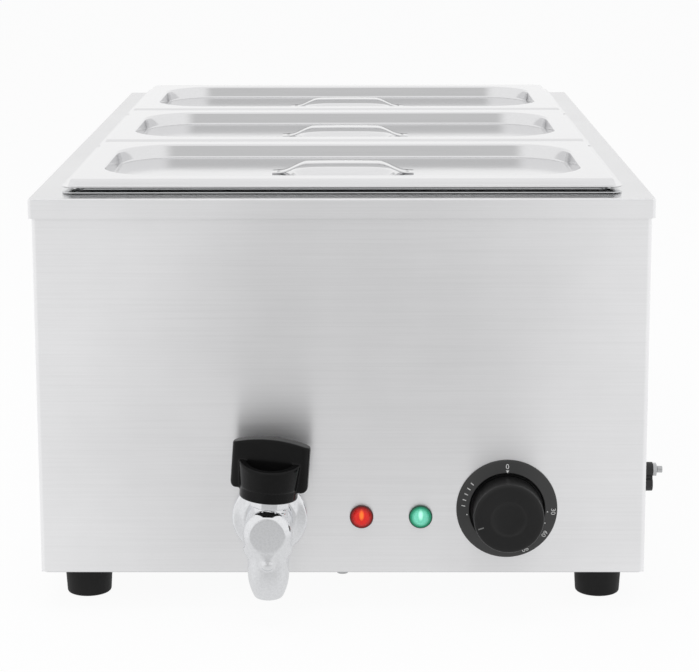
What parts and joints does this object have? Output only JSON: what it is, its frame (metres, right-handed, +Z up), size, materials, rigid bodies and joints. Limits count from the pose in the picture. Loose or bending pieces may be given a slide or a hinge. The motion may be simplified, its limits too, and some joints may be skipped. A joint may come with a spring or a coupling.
{
  "type": "bain marie",
  "caption": "Countertop wet-heat bain marie: brushed steel cabinet with a water tank, lidded food pans side by side, a drain tap, pilot lamps and a thermostat dial on the front.",
  "frame": {"origin": "on the table plane, under the middle of the whole object's bounding box", "axes": "+Z up, -Y towards the front panel with the tap and dial, +X to the right as seen from the front"},
  "size_m": [0.3692, 0.6154, 0.2545],
  "materials": {
    "stainless_casing": "fine horizontal brushing, satin",
    "base_steel": "plain galvanised sheet",
    "tank_steel": "dull rolled sheet",
    "pan_steel": "bright drawn sheet",
    "lid_steel": "bright drawn sheet, soft sheen",
    "element_sheath": "dark annealed tube",
    "tap_chrome": "polished chrome plate",
    "brass": "turned brass",
    "gloss_black_plastic": "moulded, glossy",
    "black_plastic": "moulded, satin",
    "zinc_steel": "bright zinc plate",
    "foot_rubber": "moulded, matt",
    "silicone_seal": "moulded, matt",
    "red_lens": "lit translucent moulding",
    "green_lens": "lit translucent moulding",
    "lamp_housing": "moulded",
    "switch_resin": "moulded resin",
    "terminal_resin": "moulded",
    "wire_sleeve": "sleeved wire"
  },
  "bodies": {
    "cabinet": {"casing": "stainless_casing", "rear_panel": "stainless_casing", "top_frame": "stainless_casing", "base_plate": "base_steel", "water_tank": "tank_steel", "drain_socket": "tank_steel", "element_brackets": "tank_steel", "bulb_clip": "tank_steel", "heating_element": "element_sheath", "tap_body": "tap_chrome", "tap_rosette": "tap_chrome", "tap_bonnet": "tap_chrome", "tap_locknut": "brass", "element_nuts": "brass", "thermostat_bulb": "brass", "thermostat_bezel": "black_plastic", "bonding_plate": "black_plastic", "cable_gland": "black_plastic", "gland_nut": "black_plastic", "lamp_clips": "black_plastic", "base_screws": "zinc_steel", "rear_screws": "zinc_steel", "foot_screws": "zinc_steel", "foot_nuts": "zinc_steel", "bonding_stud": "zinc_steel", "bonding_nuts": "zinc_steel", "thermostat_screws": "zinc_steel", "terminal_screws": "zinc_steel", "feet": "foot_rubber", "tap_seal": "silicone_seal", "element_seals": "silicone_seal", "red_lamp_lens": "red_lens", "green_lamp_lens": "green_lens", "red_lamp_body": "lamp_housing", "green_lamp_body": "lamp_housing", "thermostat_body": "switch_resin", "overheat_cutout": "switch_resin", "terminal_block": "terminal_resin", "wiring": "wire_sleeve"},
    "pan_front": {"pan_front": "pan_steel"},
    "lid_front": {"lid_front": "lid_steel", "lid_handle_front": "lid_steel"},
    "pan_middle": {"pan_middle": "pan_steel"},
    "lid_middle": {"lid_middle": "lid_steel", "lid_handle_middle": "lid_steel"},
    "pan_rear": {"pan_rear": "pan_steel"},
    "lid_rear": {"lid_rear": "lid_steel", "lid_handle_rear": "lid_steel"},
    "tap_lever": {"tap_handle": "gloss_black_plastic", "tap_handle_screw": "zinc_steel", "tap_plug": "brass"},
    "dial_knob": {"thermostat_knob": "black_plastic", "thermostat_spindle": "zinc_steel"}
  },
  "joints": [
    {"name": "pan_front_lift", "type": "slide", "parent": "cabinet", "child": "pan_front", "axis": [0, 0, 1], "range_m": [0, 0.2]},
    {"name": "lid_front_lift", "type": "slide", "parent": "pan_front", "child": "lid_front", "axis": [0, 0, 1], "range_m": [0, 0.1]},
    {"name": "pan_middle_lift", "type": "slide", "parent": "cabinet", "child": "pan_middle", "axis": [0, 0, 1], "range_m": [0, 0.2]},
    {"name": "lid_middle_lift", "type": "slide", "parent": "pan_middle", "child": "lid_middle", "axis": [0, 0, 1], "range_m": [0, 0.1]},
    {"name": "pan_rear_lift", "type": "slide", "parent": "cabinet", "child": "pan_rear", "axis": [0, 0, 1], "range_m": [0, 0.2]},
    {"name": "lid_rear_lift", "type": "slide", "parent": "pan_rear", "child": "lid_rear", "axis": [0, 0, 1], "range_m": [0, 0.1]},
    {"name": "tap_turn", "type": "hinge", "parent": "cabinet", "child": "tap_lever", "pos_m": [-0.04755, -0.2899, 0.0572], "axis": [0.0732, 0, 0.9973], "range_deg": [-84, 6]},
    {"name": "thermostat_turn", "type": "hinge", "parent": "cabinet", "child": "dial_knob", "pos_m": [0.09135, -0.2659, 0.062], "axis": [0, 1, 0], "range_deg": [-251.5, 38.5]}
  ]
}
